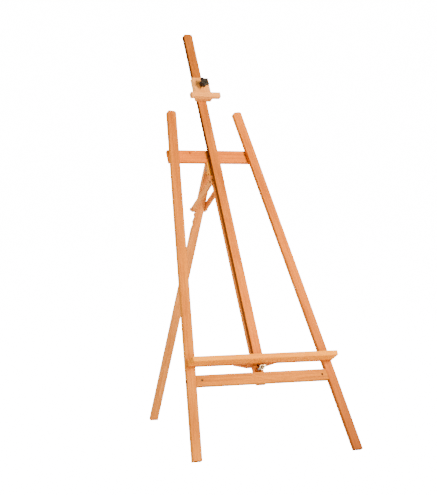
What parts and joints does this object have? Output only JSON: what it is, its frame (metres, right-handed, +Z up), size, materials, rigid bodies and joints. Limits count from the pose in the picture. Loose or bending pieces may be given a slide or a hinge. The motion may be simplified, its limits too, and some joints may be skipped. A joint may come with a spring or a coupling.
{
  "type": "wooden artist easel",
  "caption": "Tall leaning wooden easel with splayed front legs, a sliding mast and canvas tray, a knob-clamped canvas holder and a folding rear leg held by a notched brace.",
  "frame": {"origin": "on the floor, in the middle of the open easel's footprint", "axes": "+Z up, +X to the right as seen from the canvas side, +Y to the back, towards the rear leg"},
  "size_m": [0.7484, 1.2236, 1.7104],
  "materials": {
    "oiled_beech": "oiled",
    "pale_beech": "oiled",
    "dark_screws": "satin",
    "plated_steel": "satin",
    "brass_insert": "satin",
    "black_plastic": "matte"
  },
  "bodies": {
    "frame": {"left_leg": "oiled_beech", "right_leg": "oiled_beech", "upper_crossbar": "oiled_beech", "lower_crossbar": "oiled_beech", "spine": "oiled_beech", "left_corner_block": "oiled_beech", "right_corner_block": "oiled_beech", "corner_block_screws": "dark_screws", "upper_crossbar_screws": "dark_screws", "crossbar_bolts": "dark_screws", "barrel_nuts": "plated_steel", "spine_dowels": "pale_beech", "spine_screws": "dark_screws", "mast_keeper_screw": "dark_screws", "hinge_fixed_leaf": "plated_steel", "fixed_leaf_screws": "dark_screws", "hinge_pin": "plated_steel", "brace_pivot": "plated_steel"},
    "mast_carriage": {"mast": "oiled_beech", "tray_back_board": "oiled_beech", "tray_ledge": "oiled_beech", "left_spacer": "oiled_beech", "right_spacer": "oiled_beech", "spine_batten": "oiled_beech", "clamp_bolt": "plated_steel", "clamp_sleeve": "plated_steel", "ledge_screws": "dark_screws", "mast_screws": "dark_screws", "batten_screws": "dark_screws"},
    "wing_nut_body": {"wing_nut": "plated_steel"},
    "canvas_holder": {"holder_block": "pale_beech", "holder_lip": "pale_beech", "lip_screws": "dark_screws", "holder_strap": "plated_steel", "strap_screws": "dark_screws", "knob_insert": "brass_insert"},
    "holder_knob": {"star_knob": "black_plastic", "knob_stud": "plated_steel"},
    "rear_leg_body": {"rear_leg": "oiled_beech", "hinge_moving_leaf": "plated_steel", "moving_leaf_screws": "dark_screws"},
    "brace": {"left_brace_arm": "oiled_beech", "right_brace_arm": "oiled_beech", "brace_rod": "pale_beech"}
  },
  "joints": [
    {"name": "mast_slide", "type": "slide", "parent": "frame", "child": "mast_carriage", "axis": [0, 0.4462, 0.8949], "range_m": [0, 0.6]},
    {"name": "wing_nut_turn", "type": "hinge", "parent": "mast_carriage", "child": "wing_nut_body", "pos_m": [0, -0.46477, 0.33737], "axis": [0, -0.8949, 0.4462], "continuous": true},
    {"name": "holder_slide", "type": "slide", "parent": "mast_carriage", "child": "canvas_holder", "axis": [0, 0.4462, 0.8949], "range_m": [-0.18, 0.18]},
    {"name": "holder_knob_turn", "type": "hinge", "parent": "canvas_holder", "child": "holder_knob", "pos_m": [0, 0.08176, 1.48957], "axis": [0, -0.8949, 0.4462], "continuous": true},
    {"name": "rear_leg_fold", "type": "hinge", "parent": "frame", "child": "rear_leg_body", "pos_m": [0, 0.00755, 1.15023], "axis": [1, 0, 0], "range_deg": [-50.5, 0]},
    {"name": "brace_fold", "type": "hinge", "parent": "frame", "child": "brace", "pos_m": [0, -0.04813, 1.07217], "axis": [1, 0, 0], "range_deg": [-55.6, 0]}
  ],
  "couplings": [
    {"joint": "brace_fold", "follows": "rear_leg_fold", "ratio": 1.1}
  ]
}
